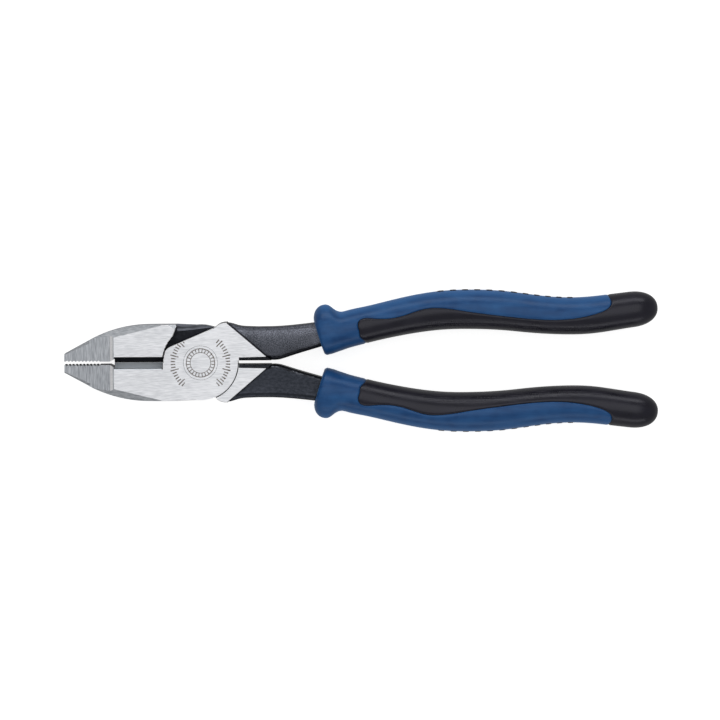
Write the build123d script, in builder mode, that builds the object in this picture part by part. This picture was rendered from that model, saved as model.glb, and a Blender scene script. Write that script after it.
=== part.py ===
from build123d import *

import os
from math import atan2, copysign, cos, degrees, pi, radians, sin, sqrt

# Lineman's pliers, in millimetres, lying flat with the pivot axis along +Z.
#
# The tool is two steel forgings lapped at a riveted joint, each with a two-shot moulded grip.
# The nose points along -X and the handles along +X. The origin is on the pivot axis, on the
# ground face that looks down. The top half carries the jaw on the -Y side and the handle on
# the +Y side, and its lap lies above the middle plane. The bottom half is the same forging
# turned half a turn about the tool's long axis, with a slightly larger rivet hole.
#
# Each shape is drawn for the top half, about the middle plane, and moved into place at the end.

# Head
HEAD_THICKNESS = 16.0
HALF = HEAD_THICKNESS / 2
LAP_GAP = 0.03  # grease film on each half's lap face
DISC_RADIUS = 15.2
SOCKET_RADIUS = DISC_RADIUS + 0.4
JAW_HALF_WIDTH = 15.5
EDGE_BREAK = 0.22
INNER_RIM_Y = 1.75  # edges nearer to the closing plane than this stay sharp

# Nose and gripping faces
NOSE_X = -55.5
NOSE_TIP_WIDTH = 3.85
NOSE_GAP = 0.68  # each gripping face stands this far off the closing plane
NOSE_ROOT_X = -36.8
NOSE_TIP_DEPTH = 5.6
NOSE_ROOT_DEPTH = 7.1
NOSE_STEP = 1.3  # length of the short slope from the ground face to the nose taper
TIP_BEVEL = 0.45  # width of the bevel along the nose's straight flank, at the tip
CHEEK_BEVEL = 1.2  # and its width where the flank becomes an arc
FLANK_TILT = 50.0
CHEEK_X, CHEEK_Y = -45.0, -9.5  # where the nose's straight flank becomes an arc
TOOTH_PITCH = 1.43
TOOTH_COUNT = 10
TOOTH_ROWS = 7
TOOTH_WIDTH = 0.95
TOOTH_DEPTH = 0.5

# Knives
KNIFE_X = -35.2
KNIFE_END_X = -15.3
KNIFE_GAP = 0.015
KNIFE_HEIGHT = 2.3
KNIFE_BEVEL_DEPTH = 2.7
NOTCH_DEPTH = 1.6
RELIEF_WIDTH = 0.5  # narrow groove behind the knife, on the lap side
RELIEF_DEPTH = 0.3  # how far it runs past the slot's wall

# Ground bevel along the outside of the jaw: where its inner line runs, and its slope
JAW_BEVEL_START = (-35.3, -10.7)
JAW_BEVEL_SLOPE = -0.2447
JAW_BEVEL_ENDS = (-60.5, -12.0)  # the block that cuts it runs between these two X
JAW_BEVEL_TILT = 46.0

# Outline of the lap, the shoulder behind the jaw and the flange in front of the tang
DIAGONAL_SLOPE = 23.2
DIAGONAL_OFFSET = 10.87
DIAGONAL_LENGTH = 10.2
DIAGONAL_FILLET = 4.0  # radius where the diagonal meets the disc
FLANGE_TIP = [(6.7, 15.0), (7.9, 15.75), (9.5, 16.2), (10.8, 16.25)]
FLANGE_ANGLE = 66.4
STEP_FOOT_X = 28.8
TANG_GAP = 0.85  # each flange stands this far off the closing plane
HEEL = (-9.5, -JAW_HALF_WIDTH)
HEEL_ANGLE = -96.0
SHOULDER_CORNER = (-10.1, -13.9)
SHOULDER_ANGLE = 223.2

# Flat bevels, each given by the two ends of its inner line and its slope
FLANGE_BEVEL = ((15.6, 1.9, HALF), (28.8, 2.2, HALF))
FLANGE_TILT = 40.0
SHOULDER_BEVEL = ((-14.4, -15.7, HALF), (-9.4, -13.27, HALF))
SHOULDER_TILT = 40.0
LAP_BEVEL = ((-9.6, -12.6, -LAP_GAP), (4.5, -14.1, -LAP_GAP))
LAP_TILT = 42.0
CUT_WIDTH = 24.0  # each bevel's cutting block is this wide and this deep
CUT_DEPTH = 8.0

# Tang stations along X: inner edge, outer edge, half depth along Z
TANG_DEPTH = 6.4
TANG_EDGE = 2.1
TANG_STATIONS = [
    (25.0, 0.95, 14.35, TANG_DEPTH),
    (28.5, 0.95, 14.35, TANG_DEPTH),
    (31.8, 1.05, 14.45, TANG_DEPTH),
    (35.0, 1.95, 14.65, TANG_DEPTH),
    (46.0, 5.3, 15.8, 6.3),
    (57.7, 8.55, 17.4, 6.0),
    (77.3, 12.55, 21.75, 5.5),
    (96.9, 16.1, 24.9, 5.0),
    (116.4, 17.0, 25.0, 4.6),
    (136.0, 15.0, 22.8, 4.3),
    (155.6, 14.4, 21.8, 4.1),
    (170.0, 16.0, 23.0, 4.0),
]

# The tang's root, behind the flange, drawn in the same way and ending where the tang begins
ROOT_STATIONS = [
    (11.0, 11.4, 15.95, TANG_DEPTH),
    (12.6, 10.2, 15.8, TANG_DEPTH),
    (15.4, 7.8, 14.95, TANG_DEPTH),
    (19.0, 5.0, 14.47, TANG_DEPTH),
    (22.0, 2.8, 14.38, TANG_DEPTH),
    (25.0, 0.95, 14.35, TANG_DEPTH),
]

# Pivot rivet
RIVET_RADIUS = 5.0
RIVET_HEAD_RADIUS = 7.0
RIVET_HEAD_DEPTH = RIVET_HEAD_RADIUS - RIVET_RADIUS
RIVET_CLEARANCE = 0.05
RIVET_BREAK = 0.12  # broken edge round each flush head

# Grips
SKIN = 2.2  # thickness of the soft second shot
SQUARENESS = 2.35  # exponent of the grip's rounded section
SECTION_POINTS = 16
COLLAR_POINT = (46.3, 20.0)  # the grip's slanted front face passes through here
COLLAR_LEAN = 16.0
COLLAR_EDGE = 1.3

# Grip stations along X: centre line, half width across the handle, half depth along Z
GRIP_STATIONS = [
    (44.0, 11.6, 9.2, 9.6),
    (48.0, 13.0, 10.1, 10.7),
    (51.0, 13.15, 10.2, 10.9),
    (54.5, 12.8, 8.9, 10.4),
    (58.5, 12.75, 8.0, 9.9),
    (67.5, 14.75, 7.65, 9.6),
    (77.3, 17.15, 7.75, 9.6),
    (87.1, 19.2, 8.05, 9.7),
    (96.9, 20.6, 8.2, 9.8),
    (111.5, 21.1, 8.3, 9.8),
    (126.2, 20.3, 8.1, 9.6),
    (136.0, 19.0, 7.95, 9.5),
    (145.8, 18.2, 7.75, 9.4),
    (155.6, 18.2, 7.7, 9.3),
    (165.4, 18.95, 7.55, 9.2),
    (175.2, 20.5, 7.4, 8.9),
    (180.1, 21.0, 6.75, 8.0),
    (183.4, 21.25, 5.4, 6.5),
    (185.4, 21.35, 3.55, 4.3),
    (186.4, 21.4, 1.2, 1.5),
]
CORE_STATIONS = [station for station in GRIP_STATIONS if 58 < station[0] < 182]

# Where the soft second shot begins, seen from above: up the front, then back along the handle
PALM_FRONT = [(69.5, 4.0), (65.4, 9.5), (64.1, 15.0)]
PALM_BACK = [
    (64.1, 15.0),
    (66.6, 17.6),
    (76.5, 17.55),
    (85.0, 19.4),
    (93.0, 21.8),
    (103.0, 21.2),
    (118.0, 19.0),
    (135.0, 17.1),
    (148.0, 16.9),
    (158.0, 18.4),
    (165.0, 20.9),
    (167.2, 24.2),
    (165.5, 30.0),
]
PALM_END_X = 190.0
PALM_DEPTH = 20.0


def polar(radius, angle):
    """The point at that angle, in degrees, round the pivot."""
    return (radius * cos(radians(angle)), radius * sin(radians(angle)))


def off_closing_plane(radius, distance, side):
    """The point of a circle round the pivot at that distance from the closing plane."""
    return (side * sqrt(radius**2 - distance**2), distance)


def jaw_outline():
    """Lines round the outside of the jaw, from its heel to the front end of its knife."""
    flank = atan2(-CHEEK_Y - NOSE_TIP_WIDTH, CHEEK_X - NOSE_X)
    cheek_radius = (JAW_HALF_WIDTH + CHEEK_Y) / (1 - cos(flank))
    cheek_end_x = CHEEK_X + cheek_radius * sin(flank)
    cheek_middle = (
        cheek_end_x - cheek_radius * sin(flank / 2),
        -JAW_HALF_WIDTH + cheek_radius * (1 - cos(flank / 2)),
    )
    Line(HEEL, (cheek_end_x, -JAW_HALF_WIDTH))
    ThreePointArc((cheek_end_x, -JAW_HALF_WIDTH), cheek_middle, (CHEEK_X, CHEEK_Y))
    Polyline(
        (CHEEK_X, CHEEK_Y),
        (NOSE_X, -NOSE_TIP_WIDTH),
        (NOSE_X, -NOSE_GAP),
        (NOSE_ROOT_X, -NOSE_GAP),
        (KNIFE_X, -NOTCH_DEPTH),
        (KNIFE_X, -KNIFE_GAP),
    )


def planed_off(start, end, tilt, side):
    """A block beyond the plane that holds the line from start to end and falls away outwards.

    The line is given on the upper face, and a side of -1 mirrors it to the lower one. The
    outside is on the right of the line, seen from above, and the tilt is the plane's slope.
    """
    foot = Vector(start[0], start[1], side * start[2])
    run = Vector(end[0], end[1], side * end[2]) - foot
    along = run.normalized()
    out = along.cross(Vector(0, 0, 1)).normalized()
    up = out.cross(along) * side
    lean = radians(tilt)
    face = Plane(foot + run * 0.5, x_dir=along, z_dir=out * sin(lean) + up * cos(lean))
    return face * Box(
        run.length,
        CUT_WIDTH,
        CUT_DEPTH,
        align=(Align.CENTER, Align.CENTER, Align.MIN),
        mode=Mode.PRIVATE,
    )


def rounded_section(centre, half_width, half_depth):
    """A closed curve between an ellipse and a rectangle, standing on its centre line."""
    points = []
    for k in range(SECTION_POINTS):
        angle = 2 * pi * k / SECTION_POINTS
        across = copysign(abs(cos(angle)) ** (2 / SQUARENESS), cos(angle))
        up = copysign(abs(sin(angle)) ** (2 / SQUARENESS), sin(angle))
        points.append((centre + half_width * across, half_depth * up))
    Spline(*points, periodic=True)


def on_jaw_bevel(x):
    """The point of the jaw bevel's inner line at that x."""
    return (x, JAW_BEVEL_START[1] + JAW_BEVEL_SLOPE * (x - JAW_BEVEL_START[0]), HALF)


# Lap level: the jaw, the pivot disc and the flange in one piece, above the middle plane
slope = radians(DIAGONAL_SLOPE)
nearest = (-DIAGONAL_OFFSET * sin(slope), DIAGONAL_OFFSET * cos(slope))
reach = sqrt(DISC_RADIUS**2 - DIAGONAL_OFFSET**2)
diagonal_foot = (nearest[0] - reach * cos(slope), nearest[1] - reach * sin(slope))
diagonal_head = (
    nearest[0] + DIAGONAL_LENGTH * cos(slope),
    nearest[1] + DIAGONAL_LENGTH * sin(slope),
)
foot_angle = degrees(atan2(diagonal_foot[1], diagonal_foot[0]))
disc_left = off_closing_plane(DISC_RADIUS, -KNIFE_GAP, -1)
disc_right = off_closing_plane(DISC_RADIUS, TANG_GAP, 1)
disc_heel = polar(DISC_RADIUS, HEEL_ANGLE)
step_foot = (STEP_FOOT_X, TANG_GAP)

with BuildSketch() as lap_level:
    with BuildLine():
        jaw_outline()
        Line((KNIFE_X, -KNIFE_GAP), disc_left)
        ThreePointArc(disc_left, polar(DISC_RADIUS, (180 + foot_angle) / 2), diagonal_foot)
        Polyline(diagonal_foot, diagonal_head, *FLANGE_TIP, step_foot, disc_right)
        ThreePointArc(disc_right, polar(DISC_RADIUS, -45), disc_heel)
        Line(disc_heel, HEEL)
    make_face()
    fillet(lap_level.vertices().sort_by_distance(diagonal_foot)[0], DIAGONAL_FILLET)

# Far level: the jaw and the flange apart, on each side of the other half's disc
socket_left = off_closing_plane(SOCKET_RADIUS, -KNIFE_GAP, -1)
socket_right = off_closing_plane(SOCKET_RADIUS, TANG_GAP, 1)
socket_shoulder = polar(SOCKET_RADIUS, SHOULDER_ANGLE)
socket_flange = polar(SOCKET_RADIUS, FLANGE_ANGLE)

with BuildSketch() as far_level:
    with BuildLine():
        jaw_outline()
        Line((KNIFE_X, -KNIFE_GAP), socket_left)
        ThreePointArc(socket_left, polar(SOCKET_RADIUS, 200), socket_shoulder)
        Polyline(socket_shoulder, SHOULDER_CORNER, HEEL)
    make_face()
    with BuildLine():
        ThreePointArc(socket_right, polar(SOCKET_RADIUS, FLANGE_ANGLE / 2), socket_flange)
        Polyline(socket_flange, *FLANGE_TIP, step_foot, socket_right)
    make_face()

# Tang: a forged bar with rounded edges, and its root that runs up behind the flange
with BuildPart() as tang:
    for x, inner, outer, depth in TANG_STATIONS:
        with BuildSketch(Plane.YZ.offset(x)):
            with Locations(((inner + outer) / 2, 0)):
                RectangleRounded(outer - inner, 2 * depth, TANG_EDGE)
    loft()

with BuildPart() as tang_root:
    for x, inner, outer, depth in ROOT_STATIONS:
        with BuildSketch(Plane.YZ.offset(x)):
            with Locations(((inner + outer) / 2, 0)):
                RectangleRounded(outer - inner, 2 * depth, TANG_EDGE)
    loft()

# The bare forging, without its rivet hole
jaw_bevel = (on_jaw_bevel(JAW_BEVEL_ENDS[0]), on_jaw_bevel(JAW_BEVEL_ENDS[1]))
tip_flank = (NOSE_X, -NOSE_TIP_WIDTH + TIP_BEVEL, NOSE_TIP_DEPTH)
nose_rise = (NOSE_ROOT_DEPTH - NOSE_TIP_DEPTH) / (NOSE_ROOT_X - NOSE_X)
cheek_flank = (CHEEK_X, CHEEK_Y + CHEEK_BEVEL, NOSE_TIP_DEPTH + nose_rise * (CHEEK_X - NOSE_X))

with BuildPart() as forging:
    with BuildSketch(Plane.XY.offset(LAP_GAP)):
        add(lap_level.sketch)
    extrude(amount=HALF - LAP_GAP)
    with BuildSketch(Plane.XY.offset(-HALF)):
        add(far_level.sketch)
    extrude(amount=HALF + LAP_GAP)
    add(tang_root.part)
    add(tang.part)

    # Ground bevels on both faces: outside the jaw, along the nose, and inside the flange
    for side in (1, -1):
        add(planed_off(*jaw_bevel, JAW_BEVEL_TILT, side), mode=Mode.SUBTRACT)
        add(planed_off(tip_flank, cheek_flank, FLANK_TILT, side), mode=Mode.SUBTRACT)
        add(planed_off(*FLANGE_BEVEL, FLANGE_TILT, side), mode=Mode.SUBTRACT)

    # The nose tapers towards its tip on both faces, behind a short steep slope
    for side in (1, -1):
        with BuildSketch(Plane.XZ):
            with BuildLine():
                Polyline(
                    (NOSE_X - 1, side * (HALF + 1)),
                    (NOSE_X - 1, side * NOSE_TIP_DEPTH),
                    (NOSE_ROOT_X, side * NOSE_ROOT_DEPTH),
                    (NOSE_ROOT_X + NOSE_STEP, side * HALF),
                    (NOSE_ROOT_X + NOSE_STEP, side * (HALF + 1)),
                    close=True,
                )
            make_face()
        extrude(amount=2 * JAW_HALF_WIDTH, both=True, mode=Mode.SUBTRACT)

    # Slots beside the knife, whose sloping floor makes the cutting edge
    for side in (1, -1):
        with BuildSketch(Plane.YZ.offset(KNIFE_X)):
            with BuildLine():
                Polyline(
                    (-KNIFE_GAP, 0),
                    (-KNIFE_HEIGHT, side * KNIFE_BEVEL_DEPTH),
                    (-KNIFE_HEIGHT, side * (HALF + 1)),
                    (1, side * (HALF + 1)),
                    (1, 0),
                    close=True,
                )
            make_face()
        extrude(amount=KNIFE_END_X - KNIFE_X, mode=Mode.SUBTRACT)

    # Gripping face: grooves across the jaw, and shorter rows along it
    for row in range(TOOTH_COUNT):
        groove_x = NOSE_X + TOOTH_PITCH * (row + 0.75)
        with BuildSketch(Plane.XY.offset(-HALF)):
            with BuildLine():
                Polyline(
                    (groove_x - TOOTH_WIDTH / 2, -NOSE_GAP),
                    (groove_x, -NOSE_GAP - TOOTH_DEPTH),
                    (groove_x + TOOTH_WIDTH / 2, -NOSE_GAP),
                    close=True,
                )
            make_face()
        extrude(amount=HEAD_THICKNESS, mode=Mode.SUBTRACT)
    for row in range(TOOTH_ROWS):
        groove_z = TOOTH_PITCH * (row - (TOOTH_ROWS - 1) / 2)
        with BuildSketch(Plane.YZ.offset(NOSE_X)):
            with BuildLine():
                Polyline(
                    (-NOSE_GAP, groove_z - TOOTH_WIDTH / 2),
                    (-NOSE_GAP - TOOTH_DEPTH, groove_z),
                    (-NOSE_GAP, groove_z + TOOTH_WIDTH / 2),
                    close=True,
                )
            make_face()
        extrude(amount=TOOTH_PITCH * (TOOTH_COUNT + 0.25), mode=Mode.SUBTRACT)

    # Broken edges round the ground faces, but not where the halves run together
    ground_faces = forging.faces().filter_by(Axis.Z).group_by(Axis.Z)
    rims = ground_faces[0].edges() + ground_faces[-1].edges()
    rims = rims.filter_by(lambda rim: rim.length > 1 and abs(rim.center().Y) > INNER_RIM_Y)
    joint_arcs = rims.filter_by(GeomType.CIRCLE).filter_by(lambda rim: rim.length > DISC_RADIUS)
    chamfer([rim for rim in rims if rim not in joint_arcs], EDGE_BREAK)

    # Forged bevels: the shoulder's corner, and the edge of the lap that stands in the recess
    add(planed_off(*SHOULDER_BEVEL, SHOULDER_TILT, -1), mode=Mode.SUBTRACT)
    add(planed_off(*LAP_BEVEL, LAP_TILT, -1), mode=Mode.SUBTRACT)

    # Relief groove between the knife's rear end and the pivot disc
    with BuildSketch(Plane.XY.offset(HALF)):
        with Locations((KNIFE_END_X, 0)):
            Rectangle(RELIEF_WIDTH, KNIFE_HEIGHT + RELIEF_DEPTH, align=(Align.MAX, Align.MAX))
    extrude(amount=RELIEF_WIDTH - HALF, mode=Mode.SUBTRACT)

# Grip shapes: the whole outside, and the hard core under the soft shot
with BuildPart() as grip_outside:
    for x, centre, half_width, half_depth in GRIP_STATIONS:
        with BuildSketch(Plane.YZ.offset(x)):
            with BuildLine():
                rounded_section(centre, half_width, half_depth)
            make_face()
    loft()

with BuildPart() as grip_core:
    for x, centre, half_width, half_depth in CORE_STATIONS:
        with BuildSketch(Plane.YZ.offset(x)):
            with BuildLine():
                rounded_section(centre, half_width - SKIN, half_depth - SKIN)
            make_face()
    loft()

# Soft second shot: the grip's skin on the inner side of the handle and round its end
with BuildPart() as soft_shot:
    with BuildSketch():
        with BuildLine():
            Spline(*PALM_FRONT, tangents=[(-1, 1), (0, 1)])
            Spline(*PALM_BACK, tangents=[(0, 1), (-0.5, 1)])
            Polyline(
                PALM_BACK[-1],
                (PALM_END_X, PALM_BACK[-1][1]),
                (PALM_END_X, 0),
                (PALM_FRONT[0][0], 0),
                PALM_FRONT[0],
            )
        make_face()
    extrude(amount=PALM_DEPTH, both=True)
    add(grip_outside.part, mode=Mode.INTERSECT)
    add(grip_core.part, mode=Mode.SUBTRACT)

# Hard first shot: all the rest of the grip, moulded round the tang, with a slanted front
collar_face = Plane(
    origin=(*COLLAR_POINT, 0),
    x_dir=(0, 0, 1),
    z_dir=(cos(radians(COLLAR_LEAN)), sin(radians(COLLAR_LEAN)), 0),
)

with BuildPart() as hard_shot:
    add(grip_outside.part)
    split(bisect_by=collar_face, keep=Keep.TOP)
    fillet(hard_shot.faces().sort_by(Axis.X)[0].edges(), COLLAR_EDGE)
    add(soft_shot.part, mode=Mode.SUBTRACT)
    add(tang.part, mode=Mode.SUBTRACT)

# Finished pieces, standing on the ground face that looks down
as_drawn = Location((0, 0, HALF))
turned_over = Location((0, 0, HALF), (180, 0, 0))

with BuildPart() as top_half:
    with Locations(as_drawn):
        add(forging.part)
    with Locations((0, 0, HEAD_THICKNESS)):
        CounterSinkHole(RIVET_RADIUS, RIVET_HEAD_RADIUS, HEAD_THICKNESS, counter_sink_angle=90)
top_half.part.label = "top_half"

with BuildPart() as bottom_half:
    with Locations(turned_over):
        add(forging.part)
    with Locations(Location((0, 0, 0), (180, 0, 0))):
        CounterSinkHole(
            RIVET_RADIUS + RIVET_CLEARANCE,
            RIVET_HEAD_RADIUS + RIVET_CLEARANCE,
            HEAD_THICKNESS,
            counter_sink_angle=90,
        )
bottom_half.part.label = "bottom_half"

# Pivot: a shank between two countersunk heads, hammered down and ground flush
with BuildPart() as pivot_rivet:
    with BuildSketch(Plane.XZ):
        with BuildLine():
            Polyline(
                (0, 0),
                (RIVET_HEAD_RADIUS - RIVET_BREAK, 0),
                (RIVET_HEAD_RADIUS - RIVET_BREAK, RIVET_BREAK),
                (RIVET_RADIUS, RIVET_HEAD_DEPTH),
                (RIVET_RADIUS, HEAD_THICKNESS - RIVET_HEAD_DEPTH),
                (RIVET_HEAD_RADIUS - RIVET_BREAK, HEAD_THICKNESS - RIVET_BREAK),
                (RIVET_HEAD_RADIUS - RIVET_BREAK, HEAD_THICKNESS),
                (0, HEAD_THICKNESS),
                close=True,
            )
        make_face()
    revolve(axis=Axis.Z)
pivot_rivet.part.label = "pivot_rivet"

with BuildPart() as top_grip_sleeve:
    with Locations(as_drawn):
        add(hard_shot.part)
top_grip_sleeve.part.label = "top_grip_sleeve"

with BuildPart() as top_grip_overmould:
    with Locations(as_drawn):
        add(soft_shot.part)
top_grip_overmould.part.label = "top_grip_overmould"

with BuildPart() as bottom_grip_sleeve:
    with Locations(turned_over):
        add(hard_shot.part)
bottom_grip_sleeve.part.label = "bottom_grip_sleeve"

with BuildPart() as bottom_grip_overmould:
    with Locations(turned_over):
        add(soft_shot.part)
bottom_grip_overmould.part.label = "bottom_grip_overmould"

os.makedirs("parts", exist_ok=True)
export_step(top_half.part, "parts/top_half.step")
export_step(bottom_half.part, "parts/bottom_half.step")
export_step(pivot_rivet.part, "parts/pivot_rivet.step")
export_step(top_grip_sleeve.part, "parts/top_grip_sleeve.step")
export_step(top_grip_overmould.part, "parts/top_grip_overmould.step")
export_step(bottom_grip_sleeve.part, "parts/bottom_grip_sleeve.step")
export_step(bottom_grip_overmould.part, "parts/bottom_grip_overmould.step")
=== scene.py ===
import math

import bpy
import numpy as np
from mathutils import Matrix, Vector


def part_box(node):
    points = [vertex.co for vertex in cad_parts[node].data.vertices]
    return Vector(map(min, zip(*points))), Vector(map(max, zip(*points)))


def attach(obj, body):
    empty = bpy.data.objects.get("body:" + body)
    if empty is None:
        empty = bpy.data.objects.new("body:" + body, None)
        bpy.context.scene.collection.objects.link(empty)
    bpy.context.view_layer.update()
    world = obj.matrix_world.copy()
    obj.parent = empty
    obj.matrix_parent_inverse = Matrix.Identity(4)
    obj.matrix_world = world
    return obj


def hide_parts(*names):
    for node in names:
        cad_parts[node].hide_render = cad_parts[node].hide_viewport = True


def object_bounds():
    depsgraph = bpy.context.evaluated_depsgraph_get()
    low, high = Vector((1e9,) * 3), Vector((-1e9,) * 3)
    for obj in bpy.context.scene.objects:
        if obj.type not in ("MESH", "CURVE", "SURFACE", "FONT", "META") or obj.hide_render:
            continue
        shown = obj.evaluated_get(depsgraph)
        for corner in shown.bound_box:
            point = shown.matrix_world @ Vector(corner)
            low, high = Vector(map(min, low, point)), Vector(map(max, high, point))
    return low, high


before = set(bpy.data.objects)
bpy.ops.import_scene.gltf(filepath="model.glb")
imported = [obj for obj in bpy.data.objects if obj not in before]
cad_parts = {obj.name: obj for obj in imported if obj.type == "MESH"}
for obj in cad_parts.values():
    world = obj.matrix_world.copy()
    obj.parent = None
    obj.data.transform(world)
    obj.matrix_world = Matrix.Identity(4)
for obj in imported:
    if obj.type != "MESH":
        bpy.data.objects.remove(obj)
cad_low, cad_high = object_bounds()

# Lineman's pliers. The forgings and the rivet are the CAD nodes with procedural finishes. Each grip
# is a fine mesh of its own, cut along the line where its soft black shot meets the hard blue one.
# Shapes are in millimetres, for the top half, with Z measured from the head's middle plane.
# Materials work in metres, in the frame's own coordinates.

MM = 0.001
MIDDLE_Z = (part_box("pivot_rivet")[0].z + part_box("pivot_rivet")[1].z) / 2
HALF = MIDDLE_Z / MM
TIP_CLEARANCE = 0.05
GRIP_TIP_X = cad_high.x / MM - TIP_CLEARANCE

# ------------------------------------------------------------------ materials


class Finish:
    """A node material being built, with its shader and its object coordinates."""

    def __init__(self, name):
        self.material = bpy.data.materials.new(name)
        self.material.use_nodes = True
        self.nodes = self.material.node_tree.nodes
        self.links = self.material.node_tree.links
        self.shader = self.nodes["Principled BSDF"]
        coordinates = self.nodes.new("ShaderNodeTexCoord")
        self.place = coordinates.outputs["Object"]
        self.normal = coordinates.outputs["Normal"]

    def feed(self, socket, value):
        """Sets a socket to a number or a colour, or links another node's output to it."""
        if isinstance(value, bpy.types.NodeSocket):
            self.links.new(value, socket)
        elif isinstance(value, tuple):
            socket.default_value = (*value, 1)
        else:
            socket.default_value = value

    def shade(self, name, value):
        """Feeds the shader's socket of that name."""
        self.feed(self.shader.inputs[name], value)

    def math(self, operation, *values):
        """A Math node's output; each value is a number or an output."""
        node = self.nodes.new("ShaderNodeMath")
        node.operation = operation
        for socket, value in zip(node.inputs, values):
            self.feed(socket, value)
        return node.outputs[0]

    def chain(self, operation, first, *others):
        """first combined with each of the others in turn."""
        for other in others:
            first = self.math(operation, first, other)
        return first

    def between(self, source, low, high):
        """1 where source lies between low and high, 0 elsewhere."""
        above = self.math("GREATER_THAN", source, low)
        return self.math("MULTIPLY", above, self.math("LESS_THAN", source, high))

    def axes(self, vector):
        """The X, Y and Z parts of a vector output."""
        split = self.nodes.new("ShaderNodeSeparateXYZ")
        self.feed(split.inputs[0], vector)
        return split.outputs

    def noise(self, grains, detail, roughness):
        """Noise with that many grains per metre along X, Y and Z."""
        mapping = self.nodes.new("ShaderNodeMapping")
        mapping.inputs["Scale"].default_value = grains
        self.feed(mapping.inputs["Vector"], self.place)
        texture = self.nodes.new("ShaderNodeTexNoise")
        for name, value in (("Scale", 1.0), ("Detail", detail), ("Roughness", roughness)):
            texture.inputs[name].default_value = value
        self.feed(texture.inputs["Vector"], mapping.outputs[0])
        return texture.outputs["Fac"]

    def cells(self, grains, randomness=1.0):
        """Distance to the nearest of scattered points, of which there are that many to a metre."""
        texture = self.nodes.new("ShaderNodeTexVoronoi")
        texture.inputs["Scale"].default_value = grains
        texture.inputs["Randomness"].default_value = randomness
        self.feed(texture.inputs["Vector"], self.place)
        return texture.outputs["Distance"]

    def spread(self, source, low, high, to_low=0.0, to_high=1.0):
        """source moved from the range low..high to to_low..to_high, and kept inside it."""
        node = self.nodes.new("ShaderNodeMapRange")
        self.feed(node.inputs["Value"], source)
        names = ("From Min", "From Max", "To Min", "To Max")
        for name, value in zip(names, (low, high, to_low, to_high)):
            node.inputs[name].default_value = value
        return node.outputs[0]

    def mix(self, factor, first, second):
        """A colour between first and second; each is a colour or an output."""
        node = self.nodes.new("ShaderNodeMix")
        node.data_type = "RGBA"
        self.feed(node.inputs["Factor"], factor)
        colours = [socket for socket in node.inputs if socket.type == "RGBA"]
        for socket, colour in zip(colours, (first, second)):
            self.feed(socket, colour)
        return [socket for socket in node.outputs if socket.type == "RGBA"][0]

    def bump(self, height, depth, strength):
        """Feeds height, from 0 to 1, to the shader as a bump that deep, in metres."""
        node = self.nodes.new("ShaderNodeBump")
        node.inputs["Distance"].default_value = depth
        node.inputs["Strength"].default_value = strength
        self.feed(node.inputs["Height"], height)
        self.shade("Normal", node.outputs[0])


# The flange's diagonal edge, seen from above: its normal, and its distance from the pivot in metres
STEP_START = Vector((0.0108, 0.01625))
STEP_END = Vector((0.0288, 0.00085))
STEP_NORMAL = Vector((STEP_START.y - STEP_END.y, STEP_END.x - STEP_START.x)).normalized()
STEP_DISTANCE = STEP_NORMAL.dot(STEP_START)

# Painted shade along that edge: where it starts to lighten, and where it is gone, in metres from it
STEP_SHADE_START, STEP_SHADE_END = 0.0002, 0.0006

# The tang's outer edge, seen from above: its narrowest place, and how it curves away, in metres
TANG_WAIST_X, TANG_WAIST_Y = 0.027, 0.01437
TANG_CURVE = 3.7

# Painted highlights and shade across the tang: how far in from its outer edge, in millimetres, and
# how light it is there.
# The last stop is at BAND_REACH, which is in metres.
BAND_REACH = 0.014
ROUGH_PAINTED_LIGHT = [(0, 0.5), (1.2, 0.42), (1.7, 0.95), (2.9, 0.9), (4.6, 0.55), (9.0, 0.32), (14, 0.24)]
SMOOTH_PAINTED_LIGHT = [
    (0, 0.5),
    (0.7, 1.0),
    (1.1, 0.6),
    (1.7, 0.55),
    (2.1, 1.0),
    (2.8, 0.8),
    (7.0, 0.6),
    (14, 0.75),
]

# The ground steel is a little paler behind the jaws than on them
PALE_START_X, PALE_END_X = -0.016, 0.004

# Noise in the finishes, in grains per metre along X, Y and Z
STEEL_CLOUD = (90, 110, 90)
ETCHING_STAIN = (1500, 1500, 1500)
OXIDE_CLOUD = (70, 90, 90)
FLOW_STREAKS = (60, 420, 420)
PLASTIC_CLOUD = (140, 160, 160)

# The coarse grinding lines and the pits, as a share of the number of fine lines or of specks
COARSE_LINES = 0.3
PITS = 0.8

# How deep the bump of each kind of surface is, in metres
LINE_DEPTH = 0.00001
SKIN_DEPTH = 0.00008

# The stipple inside the grips: where it fades in and out along X, in metres, and with the way that
# the surface faces, and its pips
STIPPLE_START = (0.086, 0.094)
STIPPLE_END = (0.168, 0.160)
STIPPLE_SIDE = (-0.35, -0.6)
PIPS_PER_METRE = 1350
PIP_RANDOMNESS = 0.25

# How far outwards the back of a grip faces where its painted highlight starts and is full, and how
# much of the lighter colour it shows there
RIM_LIGHT_FROM, RIM_LIGHT_TO = 0.72, 0.98
RIM_LIGHT_MOST = 0.75

# The etched marks. Ticks have a count to a full turn, a width as a share of the pitch, and two
# radii in metres. Rings have two radii. The arcs of ticks end where the sine of their angle passes
# ARC_REACH. Only faces above NEAR_TOP_Z are marked.
ETCHED = (0.115, 0.085, 0.065)
SHORT_TICKS = (60, 0.40, 0.0103, 0.0121)
LONG_TICKS = (12, 0.08, 0.0092, 0.0126)
SPOKES = (24, 0.26, 0.00430, 0.00560)
OUTER_RING = (0.00560, 0.00595)
INNER_RING = (0.00405, 0.00430)
ARC_REACH = 0.82
NEAR_TOP_Z = 1.9 * MIDDLE_Z


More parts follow.
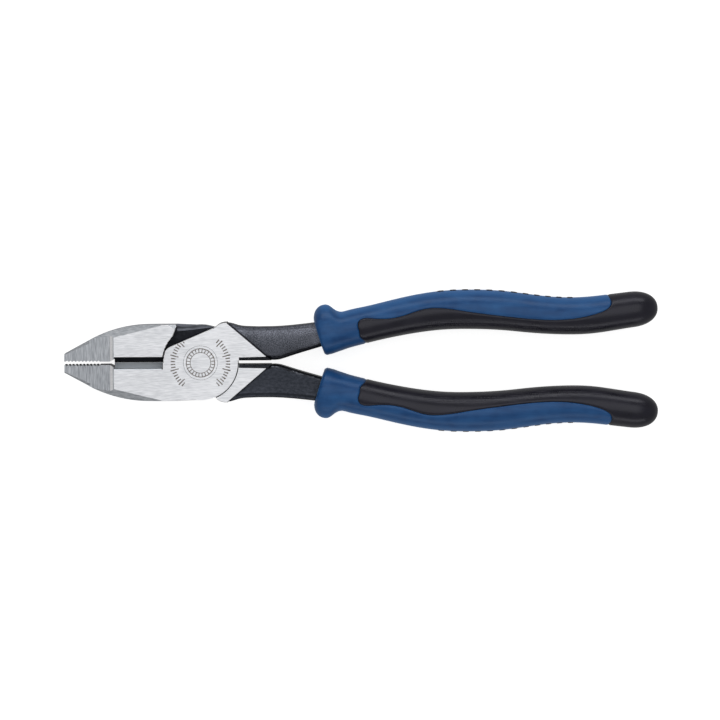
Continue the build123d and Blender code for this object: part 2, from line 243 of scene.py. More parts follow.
def etched_marks(finish):
    """Plain marks round the pivot: two arcs of radial ticks, and two rings joined by spokes."""
    x, y, z = finish.axes(finish.place)
    squares = finish.math("MULTIPLY_ADD", x, x, finish.math("MULTIPLY", y, y))
    radius = finish.math("SQRT", squares)
    angle = finish.math("ARCTAN2", y, x)

    def rays(count, width, inner, outer):
        """Radial lines, count of them to a full turn, each as wide as that share of the pitch."""
        turns = finish.math("MULTIPLY", angle, count / (2 * math.pi))
        phase = finish.math("FRACT", turns)
        line = finish.between(phase, 0.5 - width / 2, 0.5 + width / 2)
        return finish.math("MULTIPLY", line, finish.between(radius, inner, outer))

    sweep = finish.math("ABSOLUTE", finish.math("SINE", angle))
    sides = finish.math("LESS_THAN", sweep, ARC_REACH)
    ticks = finish.math("MAXIMUM", rays(*SHORT_TICKS), rays(*LONG_TICKS))
    marks = finish.chain(
        "MAXIMUM",
        finish.math("MULTIPLY", ticks, sides),
        finish.between(radius, *OUTER_RING),
        finish.between(radius, *INNER_RING),
        rays(*SPOKES),
    )
    top_face = finish.math("GREATER_THAN", z, NEAR_TOP_Z)
    return finish.math("MULTIPLY", marks, top_face)


def ground_steel(name, light, dark, streak, roughness, metallic=0.6, sheen=0.0, marked=False):
    """Bright steel with fine grinding lines; streak is the lines' grains per metre on each axis."""
    finish = Finish(name)
    fine = finish.noise(streak, 2.0, 0.6)
    coarse = finish.noise(tuple(grains * COARSE_LINES for grains in streak), 2.0, 0.5)
    lines = finish.math("MULTIPLY_ADD", coarse, 0.25, finish.math("MULTIPLY", fine, 0.75))
    cloud = finish.spread(finish.noise(STEEL_CLOUD, 2.0, 0.5), 0.25, 0.75, 0.0, 0.25)
    x = finish.axes(finish.place)[0]
    soft = finish.math("ADD", cloud, finish.spread(x, PALE_START_X, PALE_END_X, 0.0, 0.25))
    tone = finish.math("MULTIPLY_ADD", finish.spread(lines, 0.40, 0.60), 0.75, soft)
    colour = finish.mix(tone, dark, light)
    rough = finish.spread(lines, 0.3, 0.7, roughness + 0.08, roughness - 0.06)
    height = lines
    if marked:
        stain = finish.spread(finish.noise(ETCHING_STAIN, 2.0, 0.6), 0.25, 0.6, 0.45, 1.0)
        etched = finish.math("MULTIPLY", etched_marks(finish), stain)
        colour = finish.mix(etched, colour, ETCHED)
        rough = finish.math("MULTIPLY_ADD", etched, 0.25, rough)
        height = finish.math("MULTIPLY_ADD", etched, -1.5, lines)
    finish.shade("Base Color", colour)
    finish.shade("Roughness", rough)
    finish.shade("Metallic", metallic)
    finish.shade("Sheen Weight", sheen)
    finish.shade("Anisotropic", 0.35)
    finish.bump(height, LINE_DEPTH, 0.6)
    return finish.material


def painted_step_shade(finish):
    """Painted shade: 0 in the crease where the tang leaves the flange's diagonal edge, 1 away from
    it.
    """
    x, y, _ = finish.axes(finish.place)
    across = finish.math("ABSOLUTE", y)
    reach = finish.math("MULTIPLY_ADD", across, STEP_NORMAL[1], -STEP_DISTANCE)
    reach = finish.math("MULTIPLY_ADD", x, STEP_NORMAL[0], reach)
    return finish.spread(reach, STEP_SHADE_START, STEP_SHADE_END)


def painted_tang_light(finish, stops):
    """Painted highlights and shade across the tang, from stops of distance in from its outer edge,
    in millimetres.
    """
    x, y, _ = finish.axes(finish.place)
    back = finish.math("SUBTRACT", x, TANG_WAIST_X)
    squared = finish.math("MULTIPLY", back, back)
    edge = finish.math("MULTIPLY_ADD", squared, TANG_CURVE, TANG_WAIST_Y)
    inwards = finish.math("SUBTRACT", edge, finish.math("ABSOLUTE", y))
    ramp = finish.nodes.new("ShaderNodeValToRGB")
    finish.feed(ramp.inputs[0], finish.spread(inwards, 0.0, BAND_REACH))
    colours = ramp.color_ramp.elements
    for distance, tone in stops[1:-1]:
        colours.new(distance * MM / BAND_REACH).color = (tone, tone, tone, 1)
    for end in (0, -1):
        tone = stops[end][1]
        colours[end].color = (tone, tone, tone, 1)
    return ramp.outputs["Color"]


def black_oxide(name, light, dark, grain, roughness, depth, contrast=1.0, painted_light_bands=None):
    """Forged steel under black oxide: dark, mottled and slightly pitted."""
    finish = Finish(name)
    speck = finish.noise(grain, 3.0, 0.7)
    reach = 0.16 / contrast
    specks = finish.spread(speck, 0.5 - reach, 0.5 + reach, 0.0, 0.65)
    cloud = finish.spread(finish.noise(OXIDE_CLOUD, 2.0, 0.5), 0.3, 0.7, 0.0, 0.35)
    tone = finish.math("ADD", cloud, specks)
    # The tang's two finishes get painted shade along the flange's step, and painted highlights and
    # shade across the tang
    if painted_light_bands:
        tone = finish.chain("MULTIPLY", tone, painted_step_shade(finish), painted_tang_light(finish, painted_light_bands))
    finish.shade("Base Color", finish.mix(tone, dark, light))
    finish.shade("Roughness", finish.spread(speck, 0.3, 0.7, roughness + 0.1, roughness - 0.08))
    finish.shade("Metallic", 0.75)
    pits = finish.spread(finish.cells(grain[0] * PITS), 0.0, 0.5)
    finish.bump(finish.math("MULTIPLY_ADD", pits, 0.4, speck), depth, 0.8)
    return finish.material


def outward(finish):
    """How far the surface faces away from the other grip: 1 straight away from it, -1 towards it."""
    side = finish.math("SIGN", finish.axes(finish.place)[1])
    return finish.math("MULTIPLY", side, finish.axes(finish.normal)[1])


def stipple(finish):
    """Fine pips on the side of each grip that faces the other one."""
    x = finish.axes(finish.place)[0]
    side = finish.spread(outward(finish), *STIPPLE_SIDE)
    start = finish.spread(x, *STIPPLE_START)
    end = finish.spread(x, *STIPPLE_END)
    pips = finish.spread(finish.cells(PIPS_PER_METRE, PIP_RANDOMNESS), 0.45, 0.15)
    return finish.chain("MULTIPLY", pips, side, start, end)


def plastic(
    name,
    base,
    deep,
    roughness,
    grain,
    mottling,
    gloss,
    tint,
    sheen,
    sheen_tint,
    painted_rim_light=None,
    pips=False,
):
    """Moulded plastic or rubber: a satin skin with faint flow streaks and a fine grain.

    painted_rim_light is the paler colour of a painted highlight on the outer back, and pips asks for
    a stipple on the inner side.
    """
    finish = Finish(name)
    streaks = finish.noise(FLOW_STREAKS, 3.0, 0.6)
    cloud = finish.noise(PLASTIC_CLOUD, 2.0, 0.5)
    tone = finish.math("MULTIPLY_ADD", streaks, 0.5, finish.math("MULTIPLY", cloud, 0.5))
    colour = finish.mix(finish.spread(tone, 0.5 - mottling, 0.5 + mottling), deep, base)
    # The outward-facing back of the grip is painted lighter: a painted highlight from the side lamps
    if painted_rim_light:
        back = finish.spread(outward(finish), RIM_LIGHT_FROM, RIM_LIGHT_TO, 0.0, RIM_LIGHT_MOST)
        colour = finish.mix(back, colour, painted_rim_light)
    finish.shade("Base Color", colour)
    finish.shade("Roughness", finish.spread(cloud, 0.3, 0.7, roughness - 0.05, roughness + 0.06))
    finish.shade("Specular IOR Level", gloss)
    finish.shade("Specular Tint", tint)
    finish.shade("Sheen Weight", sheen)
    finish.shade("Sheen Tint", sheen_tint)
    finish.shade("Sheen Roughness", 0.22)
    fine = finish.noise((grain, grain, grain), 2.0, 0.6)
    height = finish.math("MULTIPLY", fine, 0.25)
    if pips:
        height = finish.math("ADD", height, stipple(finish))
    finish.bump(height, SKIN_DEPTH, 0.7)
    return finish.material


# Grains per metre along X, Y and Z: lines along the tool, lines across it, and even specks
ALONG_X = (260, 3400, 1500)
ALONG_Y = (3600, 220, 1500)
ALONG_BEVEL = (120, 3000, 2400)
SPECKLE = (2300, 2300, 2300)
SMOOTH_GRAIN = (700, 1100, 900)
PAINTED_HIGHLIGHT_GRAIN = (60, 800, 700)
DEEP_GRAIN = (700, 900, 900)

flat_steel = ground_steel(
    "flat_steel", (0.87, 0.88, 0.91), (0.63, 0.645, 0.675), ALONG_X, 0.42, marked=True
)
nose_steel = ground_steel(
    "nose_steel", (0.545, 0.568, 0.60), (0.27, 0.287, 0.315), ALONG_Y, 0.44
)
bevel_steel = ground_steel(
    "bevel_steel", (0.60, 0.62, 0.65), (0.29, 0.31, 0.34), ALONG_BEVEL, 0.40
)
edge_steel = ground_steel(
    "edge_steel", (0.92, 0.92, 0.93), (0.80, 0.80, 0.81), ALONG_X, 0.36, metallic=0.25
)
# Dark steel on the gripping teeth: ground steel with the painted shade of the narrow gap between the
# jaws
tooth_steel_painted_shade = ground_steel(
    "tooth_steel_painted_shade", (0.16, 0.165, 0.18), (0.05, 0.053, 0.06), ALONG_Y, 0.42
)
knife_steel = ground_steel(
    "knife_steel", (0.88, 0.95, 1.0), (0.80, 0.89, 1.0), ALONG_X, 0.6, metallic=0.0, sheen=1.0
)
rough_oxide = black_oxide(
    "rough_oxide",
    (0.37, 0.39, 0.465),
    (0.008, 0.010, 0.015),
    SPECKLE,
    roughness=0.42,
    depth=0.00014,
    contrast=1.2,
    painted_light_bands=ROUGH_PAINTED_LIGHT,
)
smooth_oxide = black_oxide(
    "smooth_oxide",
    (0.062, 0.068, 0.088),
    (0.016, 0.020, 0.028),
    SMOOTH_GRAIN,
    roughness=0.4,
    depth=0.00004,
    painted_light_bands=SMOOTH_PAINTED_LIGHT,
)
# Lighter oxide that paints highlights: the line along the tang's inner edge and the streaks on the
# lap's bevel
painted_highlight_oxide = black_oxide(
    "painted_highlight_oxide",
    (0.125, 0.133, 0.158),
    (0.006, 0.007, 0.010),
    PAINTED_HIGHLIGHT_GRAIN,
    roughness=0.38,
    depth=0.00006,
    contrast=2.0,
)
# Black oxide, also used as painted shade along the flange's diagonal step and on the tang's inner
# side
oxide_and_painted_shade = black_oxide(
    "oxide_and_painted_shade",
    (0.012, 0.014, 0.02),
    (0.004, 0.005, 0.008),
    DEEP_GRAIN,
    roughness=0.36,
    depth=0.00003,
)
blue_plastic = plastic(
    "blue_plastic",
    base=(0.0205, 0.098, 0.272),
    deep=(0.0085, 0.050, 0.165),
    roughness=0.38,
    grain=3000,
    mottling=0.17,
    gloss=0.34,
    tint=(0.75, 0.88, 1.0),
    sheen=0.6,
    sheen_tint=(0.28, 0.58, 1.0),
    painted_rim_light=(0.030, 0.142, 0.385),
)
black_rubber = plastic(
    "black_rubber",
    base=(0.0143, 0.0135, 0.0225),
    deep=(0.0072, 0.007, 0.0118),
    roughness=0.3,
    grain=3600,
    mottling=0.2,
    gloss=0.36,
    tint=(0.92, 0.92, 1.0),
    sheen=0.04,
    sheen_tint=(0.92, 0.92, 1.0),
    pips=True,
)

STEEL_FINISHES = [
    flat_steel,
    nose_steel,
    bevel_steel,
    edge_steel,
    tooth_steel_painted_shade,
    knife_steel,
    rough_oxide,
    smooth_oxide,
    painted_highlight_oxide,
    oxide_and_painted_shade,
]

# ------------------------------------------------------------------ finishes of the forgings

# Where the finishes change, from the nose at the left to the tang at the right
NOSE_TIP_X = -55.4
NOSE_ROOT_X = -35.4
GRIPPING_Y = -1.25
NOSE_SIDE_Y = -5.0
KNIFE_START_X = -35.5
KNIFE_END_X = -15.4
KNIFE_Y = -2.5
JAW_SIDE_Y = -2.6
JAW_END_X = -9.4
JAW_END_BELOW_X = -10.3
LAP_BEVEL_X = -9.8
LAP_BEVEL_Y = -11.0
DISC_RADIUS = 15.4
DISC_MARGIN = 0.3
DISC_SIDE_Y = -14.0
DISC_END_X = 5.0
STEP_START_X = 10.9
STEP_MARGIN = 0.4
TANG_START_X = 11.0
TANG_EDGE_X = 20.0
TANG_DEPTH = 6.5

# How near a face's middle is to the middle plane, to the outer face, and within its chamfer
MIDDLE_DEPTH = 0.1
FACE_DEPTH = 0.05
CHAMFER_DEPTH = 0.25

# The Z part of a face's normal, from 1 on a level face to 0 on an upright one
LEVEL = 0.999
NOSE_FLAT = 0.95
NOSE_SLOPE = 0.7
TOOTH_SLOPE = 0.8
NOSE_END = 0.5
CHAMFER_LOW, CHAMFER_HIGH = 0.6, 0.8
KNIFE_LOW, KNIFE_HIGH = 0.5, 0.8
EDGE_HIGHLIGHT_LOW, EDGE_HIGHLIGHT_HIGH = 0.82, 0.95
SLOPE = 0.3
FACING_UP = 0.05

# A face whose normal's Y part is over SIDEWAYS looks to the side
SIDEWAYS = 0.3


def finish_of(x, y, z, across, up):
    """The finish of a forging's face, from its middle and the Y and Z parts of its normal.

    Everything is in millimetres in the top half's own position, about the middle plane.
    """
    # The tang, with the lap's own middle face left out
    tilt = abs(up)
    middle_face = tilt > LEVEL and abs(z) < MIDDLE_DEPTH
    if x > TANG_START_X and abs(z) < TANG_DEPTH and not middle_face:
        # The tang's side that faces the other handle is painted shade, with a painted highlight line
        # along its rounded edge
        if across < -SIDEWAYS and x > TANG_EDGE_X:
            edge_highlight = EDGE_HIGHLIGHT_LOW < tilt < EDGE_HIGHLIGHT_HIGH and z < 0
            return painted_highlight_oxide if edge_highlight else oxide_and_painted_shade
        return rough_oxide if up > FACING_UP else smooth_oxide

    # The nose, its teeth and the ground outer faces
    if x < NOSE_TIP_X and tilt < NOSE_END and abs(across) < NOSE_END:
        return nose_steel
    # The gripping teeth take the dark steel that paints the shade of the gap between the jaws
    if x < NOSE_ROOT_X and y > GRIPPING_Y and (across > SIDEWAYS or tilt < TOOTH_SLOPE):
        return tooth_steel_painted_shade
    if tilt > LEVEL and abs(z) > HALF - FACE_DEPTH:
        return flat_steel
    if x < NOSE_ROOT_X and tilt > NOSE_FLAT:
        return nose_steel
    if x < NOSE_ROOT_X and tilt > NOSE_SLOPE:
        return edge_steel

    # The knife, and the chamfers along the outer faces, which are dark in the joint and carry
    # painted shade along the flange's diagonal step
    if KNIFE_START_X < x < KNIFE_END_X and y > KNIFE_Y:
        return knife_steel if KNIFE_LOW < tilt < KNIFE_HIGH and z > 0 else oxide_and_painted_shade
    if abs(z) > HALF - CHAMFER_DEPTH and CHAMFER_LOW < tilt < CHAMFER_HIGH:
        joint = abs(math.hypot(x, y) - DISC_RADIUS) < DISC_MARGIN
        # Along the flange's diagonal step the chamfer takes the black oxide as painted shade of the
        # step
        reach = STEP_NORMAL.dot((x, y)) - STEP_DISTANCE / MM
        step = reach > -STEP_MARGIN and x > STEP_START_X
        return oxide_and_painted_shade if joint or step else edge_steel

    # The bevels of the lap, with painted highlight streaks, and of the jaw's outside
    if z > 0 and up < -SLOPE and x > LAP_BEVEL_X and y < LAP_BEVEL_Y:
        return painted_highlight_oxide
    if x < JAW_END_X and y < JAW_SIDE_Y and across < -SIDEWAYS and (z > 0 or x < JAW_END_BELOW_X):
        return bevel_steel
    if x < DISC_END_X and y < DISC_SIDE_Y and z > 0 and tilt < SLOPE:
        return bevel_steel
    if x < NOSE_ROOT_X and y < NOSE_SIDE_Y:
        return nose_steel
    return oxide_and_painted_shade


def set_finishes(node, turned):
    """Gives each face of a forging its finish; turned is -1 for the half that is turned over."""
    mesh = node.data
    mesh.materials.clear()
    for material in STEEL_FINISHES:
        mesh.materials.append(material)
    count = len(mesh.polygons)
    centres = np.empty(count * 3, np.float32)
    normals = np.empty(count * 3, np.float32)
    mesh.polygons.foreach_get("center", centres)
    mesh.polygons.foreach_get("normal", normals)
    centres = centres.reshape(-1, 3) / MM - (0, 0, HALF)
    normals = normals.reshape(-1, 3)
    order = {material.name: k for k, material in enumerate(STEEL_FINISHES)}
    picked = [
        order[finish_of(x, y * turned, z * turned, ny * turned, nz * turned).name]
        for (x, y, z), (_, ny, nz) in zip(centres.tolist(), normals.tolist())
    ]
    mesh.polygons.foreach_set("material_index", picked)


set_finishes(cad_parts["top_half"], 1)
set_finishes(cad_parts["bottom_half"], -1)
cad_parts["pivot_rivet"].data.materials.clear()
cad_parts["pivot_rivet"].data.materials.append(flat_steel)

# ------------------------------------------------------------------ grips

# The grip's spine seen from above, with the half width towards the outside and towards the other
# handle, and the half depth, at each of its stations
SPINE = [
    (48.25, 10.3, 7.6, 7.45, 9.2),
    (48.85, 10.48, 9.2, 8.1, 10.0),
    (49.9, 10.78, 10.75, 8.35, 10.5),
    (51.5, 11.22, 11.72, 8.4, 10.8),
    (53.1, 11.66, 11.88, 8.3, 10.8),
    (54.8, 12.09, 11.15, 8.15, 10.55),
    (56.6, 12.52, 8.95, 8.0, 10.15),
    (58.5, 12.96, 7.5, 7.8, 9.8),
    (61.0, 13.5, 7.35, 7.65, 9.65),
    (68.5, 15.15, 7.35, 7.4, 9.5),
    (78.5, 17.4, 7.45, 7.5, 9.5),
    (88.5, 19.4, 7.65, 7.8, 9.6),
    (98.5, 20.7, 7.8, 8.05, 9.7),
    (111.0, 21.1, 7.85, 8.25, 9.75),
    (123.5, 20.5, 7.8, 8.2, 9.65),
    (136.0, 19.05, 7.6, 7.95, 9.45),
    (148.0, 18.15, 7.45, 7.7, 9.35),
    (158.0, 18.3, 7.5, 7.65, 9.25),
    (168.0, 19.35, 7.5, 7.35, 9.1),
    (177.0, 20.55, 7.35, 7.2, 8.75),
    (GRIP_TIP_X, 21.45, 7.3, 7.2, 8.6),
]
SQUARENESS = 2.2
WALL = 1.0

# The rounded end, and how much closer together its rings are
DOME_START_X = 175.6
DOME_POWER = 2.2
DOME_CROWDING = 1.5

# The grid: the distance between rings, the points of a ring, and the closer rings of the collar
CELL = 0.45
COLUMNS = 128
COLLAR_LENGTH = 3.0
COLLAR_RINGS = 16
SECTION_STEPS = 4001
AHEAD = 0.01

# The opening that the tang goes into, and the rings of its pocket and of the face round it
TANG_OFFSET = 1.15
TANG_HALF_WIDTH = 5.2
TANG_HALF_DEPTH = 6.45
TANG_SQUARENESS = 5.0
POCKET_DEPTHS = (5.0, 2.5, 0.8, 0.25)
FACE_RINGS = 7
FACE_CROWN = 0.125
FACE_CROWN_END = 1.4

# Where the soft shot meets the hard one, seen from above
BORDER = [
    (67.6, 6.6),
    (66.9, 8.1),
    (65.3, 9.6),
    (64.6, 12.4),
    (64.0, 15.2),
    (64.7, 17.0),
    (66.8, 17.9),
    (70.2, 17.75),
    (76.3, 17.6),
    (82.8, 18.8),
    (88.3, 20.7),
    (92.6, 21.7),
    (97.5, 21.8),
    (108.9, 20.2),
    (122.0, 18.4),
    (134.9, 17.0),
    (144.5, 16.6),
    (154.4, 17.5),
    (160.9, 19.0),
    (164.8, 20.6),
    (166.8, 22.4),
    (167.1, 24.4),
    (166.2, 26.3),
    (165.6, 30.0),
]
BORDER_CLOSING = [(200.0, 40.0), (200.0, -10.0), (68.0, -10.0)]
BORDER_STEPS = 500
FAR_OUTSIDE, FAR_INSIDE = 5.0, -5.0
SMALLEST_SIZE = 1e-9
GROOVE_DEPTH = 0.28
GROOVE_WIDTH = 0.38

# The small raised ribs along the grip's back
RIB_START_X, RIB_END_X = 98.5, 150.5
RIB_COUNT = 12
RIB_HALF_LENGTH = 1.45
RIB_HALF_WIDTH = 3.4
RIB_HEIGHT = 0.2
RIB_ROOT = 0.4
RIB_LENGTH_POWER, RIB_WIDTH_POWER = 4, 6
RIB_STEPS = 8


def smooth_curve(points, at):
    """Rows at the places at, on a natural cubic spline; each of points is a place and its row."""
    points = np.array(points, float)
    places, rows = points[:, 0], points[:, 1:]
    gap = np.diff(places)
    slope = np.diff(rows, axis=0) / gap[:, None]
    count = len(places)
    system = np.eye(count)
    bending = np.zeros_like(rows)
    for k in range(1, count - 1):
        system[k, k - 1 : k + 2] = gap[k - 1], 2 * (gap[k - 1] + gap[k]), gap[k]
        bending[k] = 6 * (slope[k] - slope[k - 1])
    bend = np.linalg.solve(system, bending)
    k = np.clip(np.searchsorted(places, at) - 1, 0, count - 2)
    before, after = (at - places[k])[:, None], (places[k + 1] - at)[:, None]
    step = gap[k][:, None]
    return (
        bend[k] * after**3 / (6 * step)
        + bend[k + 1] * before**3 / (6 * step)
        + (rows[k] / step - bend[k] * step / 6) * after
        + (rows[k + 1] / step - bend[k + 1] * step / 6) * before
    )


def run_along(points):
    """Distance from the first point to each point, along the straight lines between them."""
    return np.concatenate([[0], np.cumsum(np.linalg.norm(np.diff(points, axis=0), axis=1))])


def along(points, count):
    """count points evenly spaced along the smooth curve through points."""
    points = np.array(points, float)
    run = run_along(points)
    return smooth_curve(np.column_stack([run, points]), np.linspace(0, run[-1], count))


def section(squareness, count):
    """count points of a rounded section with half sizes of 1, evenly spaced round it."""
    angle = np.linspace(0, 2 * math.pi, SECTION_STEPS)
    power = 2 / squareness
    across = np.sign(np.cos(angle)) * np.abs(np.cos(angle)) ** power
    up = np.sign(np.sin(angle)) * np.abs(np.sin(angle)) ** power
    run = run_along(np.column_stack([across, up]))
    even = np.linspace(0, run[-1], count, endpoint=False)
    return np.interp(even, run, across), np.interp(even, run, up)


def rings():
    """The grip's rings as a grid of points, its tip, and how many rings lie before the collar."""
    spine = np.array(SPINE)
    run = run_along(spine[:, :2])
    table = np.column_stack([run, spine])
    dome_start = np.interp(DOME_START_X, spine[:, 0], run)
    dome_length = run[-1] - dome_start
    collar = np.linspace(0, COLLAR_LENGTH, COLLAR_RINGS)[:-1]
    body = np.arange(0, dome_start, CELL)
    turns = np.linspace(0, math.pi / 2, int(dome_length * DOME_CROWDING / CELL))[:-1]
    dome = dome_start + dome_length * np.sin(turns)
    at = np.concatenate([collar, body[body >= COLLAR_LENGTH], dome])
    rows = smooth_curve(table, at)
    heading = smooth_curve(table, at + AHEAD)[:, :2] - rows[:, :2]
    heading /= np.linalg.norm(heading, axis=1)[:, None]
    into_dome = np.clip((at - dome_start) / dome_length, 0, 1)
    shrink = (1 - into_dome**DOME_POWER) ** (1 / DOME_POWER)

    across, up = section(SQUARENESS, COLUMNS)
    outwards = np.column_stack([-heading[:, 1], heading[:, 0]])
    width = np.where(across > 0, rows[:, 2:3], rows[:, 3:4]) * shrink[:, None] * across
    depth = rows[:, 4:5] * shrink[:, None] * up
    grid = np.empty((len(at), COLUMNS, 3))
    grid[:, :, :2] = rows[:, None, :2] + outwards[:, None, :] * width[:, :, None]
    grid[:, :, 2] = depth
    tip = np.array([GRIP_TIP_X, SPINE[-1][1], 0.0])

    # A pocket follows the tang inside, and a face with a slight crown joins it to the first ring
    tang_across, tang_up = section(TANG_SQUARENESS, COLUMNS)
    forward = np.array([*heading[0], 0])
    sideways = np.array([*outwards[0], 0])
    opening = (
        np.array([*rows[0, :2], 0])
        + sideways * (TANG_OFFSET + TANG_HALF_WIDTH * tang_across)[:, None]
        + np.array([0, 0, 1]) * (TANG_HALF_DEPTH * tang_up)[:, None]
    )
    front = [opening + forward * depth_in for depth_in in POCKET_DEPTHS]
    for k in range(FACE_RINGS):
        share = k / FACE_RINGS
        flat = opening * (1 - share) + grid[0] * share
        crown = FACE_CROWN * math.sin(math.pi * min(1, share * FACE_CROWN_END))
        front.append(flat - forward * crown)
    return np.concatenate([np.array(front), grid]), tip, len(front)


def outer_points(x, up, lift):
    """Points on the grip's outer side at those x and heights, raised by lift."""
    spine = np.array(SPINE)
    row = smooth_curve(spine, x)
    rise = smooth_curve(spine, x + AHEAD)[:, 0] - row[:, 0]
    heading = np.column_stack([np.full(len(x), AHEAD), rise])
    heading /= np.linalg.norm(heading, axis=1)[:, None]
    out = row[:, 1] * (1 - np.abs(up / row[:, 3]) ** SQUARENESS) ** (1 / SQUARENESS) + lift
    return np.column_stack([x - heading[:, 1] * out, row[:, 0] + heading[:, 0] * out, up])


def rib_solids():
    """Points and faces of the small raised ribs along the grip's outer side."""
    share = np.linspace(-1, 1, RIB_STEPS + 1)
    along_x, across = [part.ravel() for part in np.meshgrid(share, share, indexing="ij")]
    fall = (1 - along_x**RIB_LENGTH_POWER) * (1 - across**RIB_WIDTH_POWER)
    crown = RIB_HEIGHT * fall**0.5
    lift = np.where(crown > 0, crown, -RIB_ROOT)
    size = RIB_STEPS + 1
    points, faces = [], []
    for middle_x in np.linspace(RIB_START_X, RIB_END_X, RIB_COUNT):
        x = middle_x + RIB_HALF_LENGTH * along_x
        up = RIB_HALF_WIDTH * across
        first = len(points) * size * size
        points.append(outer_points(x, up, lift))
        points.append(outer_points(x, up, np.full(len(x), -2 * RIB_ROOT)))
        below = first + size * size
        for r in range(RIB_STEPS):
            for c in range(RIB_STEPS):
                corner = r * size + c
                top = [corner, corner + 1, corner + size + 1, corner + size]
                faces.append([first + k for k in top])
                faces.append([below + k for k in reversed(top)])
        rim = list(range(size))
        rim += [r * size + RIB_STEPS for r in range(1, size)]
        rim += [RIB_STEPS * size + c for c in range(RIB_STEPS - 1, -1, -1)]
        rim += [r * size for r in range(RIB_STEPS - 1, 0, -1)]
        for a, b in zip(rim, rim[1:] + rim[:1]):
            faces.append([first + b, first + a, below + a, below + b])
    return np.vstack(points), faces


def signed_distance(points, line, closing):
    """Distance from points to line, seen from above: negative inside the loop that closing ends."""
    nearest = np.full(len(points), np.inf)
    for a, b in zip(line[:-1], line[1:]):
        edge = b - a
        share = np.clip(((points - a) @ edge) / (edge @ edge), 0, 1)
        nearest = np.minimum(nearest, np.linalg.norm(points - a - share[:, None] * edge, axis=1))
    loop = np.concatenate([line, np.array(closing)])
    inside = np.zeros(len(points), bool)
    for a, b in zip(loop, np.roll(loop, -1, axis=0)):
        crosses = (a[1] > points[:, 1]) != (b[1] > points[:, 1])
        with np.errstate(divide="ignore", invalid="ignore"):
            x = a[0] + (points[:, 1] - a[1]) * (b[0] - a[0]) / (b[1] - a[1])
        inside ^= crosses & (points[:, 0] < x)
    return np.where(inside, -nearest, nearest)


def snap_to_border(grid, distance):
    """Moves the nearer end of every grid edge that crosses the border onto it."""
    halfway = 0.5
    best = np.full(distance.shape, np.inf)
    moved = grid.copy()
    for shift_row, shift_column in ((1, 0), (-1, 0), (0, 1), (0, -1)):
        for r, here in enumerate(distance):
            other = r + shift_row
            if not 0 <= other < len(distance):
                continue
            there = np.roll(distance[other], -shift_column)
            target = np.roll(grid[other], -shift_column, axis=0)
            share = np.full(len(here), 1.0)
            crossing = here * there < 0
            share[crossing] = here[crossing] / (here[crossing] - there[crossing])
            pick = crossing & (share <= halfway) & (share < best[r])
            step = grid[r] + share[:, None] * (target - grid[r])
            moved[r][pick] = step[pick]
            best[r][pick] = share[pick]
    return moved, np.where(best <= halfway, 0.0, distance)


def normals_of(grid):
    """Outward directions of the grid's points."""
    across = np.roll(grid, -1, axis=1) - np.roll(grid, 1, axis=1)
    length = np.gradient(grid, axis=0)
    out = np.cross(across, length)
    size = np.linalg.norm(out, axis=2, keepdims=True)
    return out / np.maximum(size, SMALLEST_SIZE)


def piece(name, points, faces, material):
    """A mesh object from points in millimetres, with unused points left out."""
    used = sorted({k for face in faces for k in face})
    place = {old: new for new, old in enumerate(used)}
    mesh = bpy.data.meshes.new(name)
    corners = [tuple(points[k] * MM) for k in used]
    mesh.from_pydata(corners, [], [[place[k] for k in face] for face in faces])
    mesh.materials.append(material)
    mesh.shade_smooth()
    thing = bpy.data.objects.new(name, mesh)
    bpy.context.scene.collection.objects.link(thing)
    return thing


def thicken(thing, wall):
    """Gives a skin its thickness inwards, so that it is a closed solid."""
    solid = thing.modifiers.new("wall", "SOLIDIFY")
    solid.thickness = wall * MM
    solid.offset = -1
    solid.use_rim = True
    bpy.context.view_layer.objects.active = thing
    thing.select_set(True)
    bpy.ops.object.modifier_apply(modifier="wall")
    thing.select_set(False)


def grip_pieces():
    """Points of the whole grip skin, the faces of the hard shot and those of the soft one."""
    grid, tip, front_rows = rings()
    seen_from_above = grid[:, :, :2].reshape(-1, 2)
    border = along(BORDER, BORDER_STEPS)
    distance = signed_distance(seen_from_above, border, BORDER_CLOSING).reshape(grid.shape[:2])
    distance[:front_rows] = FAR_OUTSIDE
    grid, distance = snap_to_border(grid, distance)

    groove = GROOVE_DEPTH * np.exp(-((distance / GROOVE_WIDTH) ** 2))
    grid = grid - normals_of(grid) * groove[:, :, None]

    rows, columns = distance.shape
    points = np.vstack([grid.reshape(-1, 3), tip])
    level = np.append(distance.reshape(-1), FAR_INSIDE)
    hard, soft = [], []

    def keep(face):
        """Files a face under the shot that most of it lies in."""
        shot = hard if sum(level[k] for k in face) > 0 else soft
        shot.append(face)

    for r in range(rows - 1):
        for c in range(columns):
            d = (c + 1) % columns
            here, ahead = r * columns, (r + 1) * columns
            face = [here + c, here + d, ahead + d, ahead + c]
            levels = [level[k] for k in face]
            if not min(levels) < 0 < max(levels):
                keep(face)
            elif levels[0] == 0 and levels[2] == 0:
                keep([face[0], face[1], face[2]])
                keep([face[0], face[2], face[3]])
            else:
                keep([face[1], face[2], face[3]])
                keep([face[1], face[3], face[0]])
    last = (rows - 1) * columns
    for c in range(columns):
        keep([last + c, last + (c + 1) % columns, len(points) - 1])
    return points, hard, soft


skin, hard_faces, soft_faces = grip_pieces()
UPRIGHT = Matrix.Translation((0, 0, MIDDLE_Z))
TURNED = UPRIGHT @ Matrix.Rotation(math.pi, 4, "X")

for half, place in (("top", UPRIGHT), ("bottom", TURNED)):
    for shot, faces, material, slot in (
        ("sleeve", hard_faces, blue_plastic, "blue_plastic"),
        ("overmould", soft_faces, black_rubber, "black_rubber"),
    ):
        thing = piece(f"{half}_{shot}_skin", skin, faces, material)
        thicken(thing, WALL)
        thing.data.transform(place)
        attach(thing, f"{half}_half")
        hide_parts(f"{half}_grip_{shot}")
    ribs = piece(f"{half}_ribs", *rib_solids(), black_rubber)
    ribs.data.transform(place)
    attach(ribs, f"{half}_half")

# ------------------------------------------------------------------ floor, light and camera

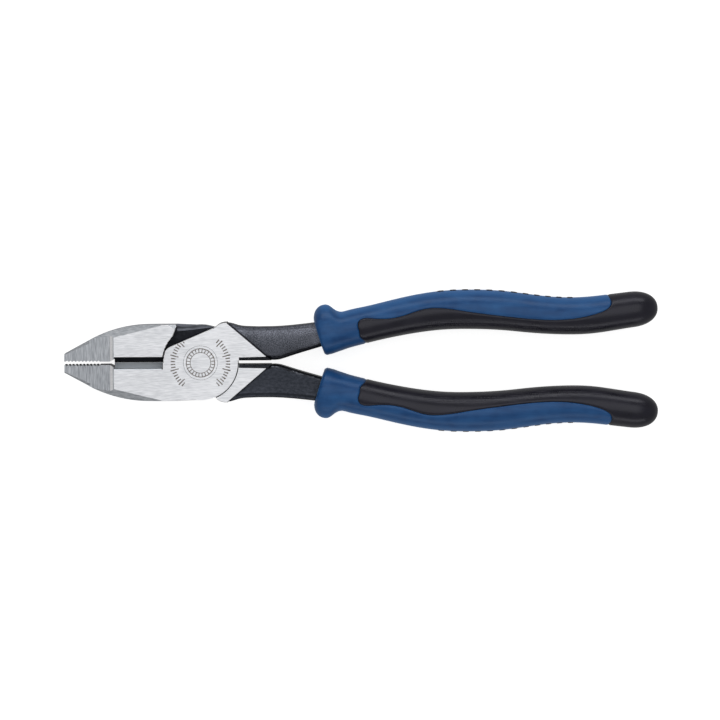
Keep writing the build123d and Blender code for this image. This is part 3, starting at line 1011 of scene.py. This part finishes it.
# In metres: how far the floor reaches to each side, and how far below the tool it lies
FLOOR_REACH = 3.0
FLOOR_GAP = 0.0002
FLOOR_GLOW = 0.82
SKY_STRENGTH = 0.34
floor_z = cad_low.z - FLOOR_GAP
floor_mesh = bpy.data.meshes.new("floor")
floor_mesh.from_pydata(
    [(x * FLOOR_REACH, y * FLOOR_REACH, floor_z) for x, y in ((-1, -1), (1, -1), (1, 1), (-1, 1))],
    [],
    [(0, 1, 2, 3)],
)
floor = bpy.data.objects.new("floor", floor_mesh)
bpy.context.scene.collection.objects.link(floor)
floor_white = Finish("floor_white")
floor_white.shade("Base Color", (0.55, 0.55, 0.55))
floor_white.shade("Emission Color", (1, 1, 1))
floor_white.shade("Emission Strength", FLOOR_GLOW)
floor_white.shade("Roughness", 0.9)
floor_white.shade("Specular IOR Level", 0.1)
floor_mesh.materials.append(floor_white.material)
floor.visible_diffuse = False
floor.visible_glossy = False

world = bpy.data.worlds.new("studio")
bpy.context.scene.world = world
world.use_nodes = True
sky = world.node_tree.nodes["Background"]
sky.inputs["Color"].default_value = (1, 1, 1, 1)
sky.inputs["Strength"].default_value = SKY_STRENGTH

middle = (cad_low + cad_high) / 2


def softbox(name, place, size, power):
    """A rectangular light at place from the tool's middle, facing it: metres and watts."""
    light = bpy.data.lights.new(name, "AREA")
    light.shape = "RECTANGLE"
    light.size, light.size_y = size
    light.energy = power
    thing = bpy.data.objects.new(name, light)
    thing.location = middle + Vector(place)
    thing.rotation_euler = (-Vector(place)).to_track_quat("-Z", "Y").to_euler()
    bpy.context.scene.collection.objects.link(thing)


softbox("overhead", (0, 0.22, 1.2), (1.7, 1.0), 5.5)
softbox("back", (0, 1.2, 0.42), (1.8, 0.5), 6.4)
softbox("front", (0, -1.2, 0.34), (1.8, 0.4), 2.9)

# The camera looks down on the tool, a little leant and rolled. FRAME_WIDTH is the width that it
# takes in at the target, in metres.
CAMERA_DISTANCE = 2.2
CAMERA_LEAN = math.radians(2.5)
CAMERA_ROLL = math.radians(0.33)
CAMERA_TARGET = Vector((0.06487, 0.00045, MIDDLE_Z))
FRAME_WIDTH = 0.2938
SENSOR_WIDTH = 36.0
camera_data = bpy.data.cameras.new("camera")
camera_data.sensor_width = SENSOR_WIDTH
camera_data.lens = SENSOR_WIDTH * CAMERA_DISTANCE / FRAME_WIDTH
camera = bpy.data.objects.new("camera", camera_data)
turn = Matrix.Rotation(-CAMERA_LEAN, 4, "X") @ Matrix.Rotation(-CAMERA_ROLL, 4, "Z")
back_off = Matrix.Translation((0, 0, CAMERA_DISTANCE))
camera.matrix_world = Matrix.Translation(CAMERA_TARGET) @ turn @ back_off
bpy.context.scene.collection.objects.link(camera)
bpy.context.scene.camera = camera
bpy.context.scene.view_settings.view_transform = "Standard"
